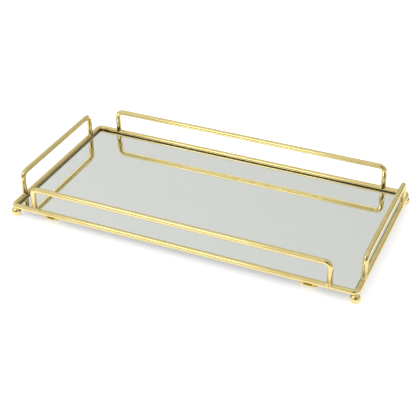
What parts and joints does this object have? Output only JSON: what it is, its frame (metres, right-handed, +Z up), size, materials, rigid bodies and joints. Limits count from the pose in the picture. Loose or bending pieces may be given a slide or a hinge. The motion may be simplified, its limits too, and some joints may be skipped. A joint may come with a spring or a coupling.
{
  "type": "vanity tray",
  "caption": "Rectangular mirrored vanity tray: a polished gold wire frame on ball feet, with low wire gallery rails around a mirror glass plate.",
  "frame": {"origin": "on the surface that the tray stands on, under the middle of the frame", "axes": "+X along the tray's length, +Y from the front rail to the back rail, +Z up"},
  "size_m": [0.4022, 0.2022, 0.0446],
  "materials": {
    "gold_wire": "polished",
    "gold_filler": "bright plated filler",
    "mirror_glass": "clear float glass with ground edges",
    "mirror_coating": "silvered, painted grey on the back",
    "backing_card": "dark brown fibre card"
  },
  "bodies": {
    "root": {"base_frame": "gold_wire", "front_rail": "gold_wire", "back_rail": "gold_wire", "left_rail": "gold_wire", "right_rail": "gold_wire", "front_left_ball_foot": "gold_wire", "front_right_ball_foot": "gold_wire", "back_left_ball_foot": "gold_wire", "back_right_ball_foot": "gold_wire", "front_left_tab": "gold_wire", "front_right_tab": "gold_wire", "back_left_tab": "gold_wire", "back_right_tab": "gold_wire", "rail_brazes": "gold_filler", "backing_card": "backing_card", "tab_brazes": "gold_filler", "mirror_glass": "mirror_glass", "mirror_coating": "mirror_coating", "front_left_foot_braze": "gold_filler", "front_right_foot_braze": "gold_filler", "back_left_foot_braze": "gold_filler", "back_right_foot_braze": "gold_filler"}
  },
  "joints": []
}
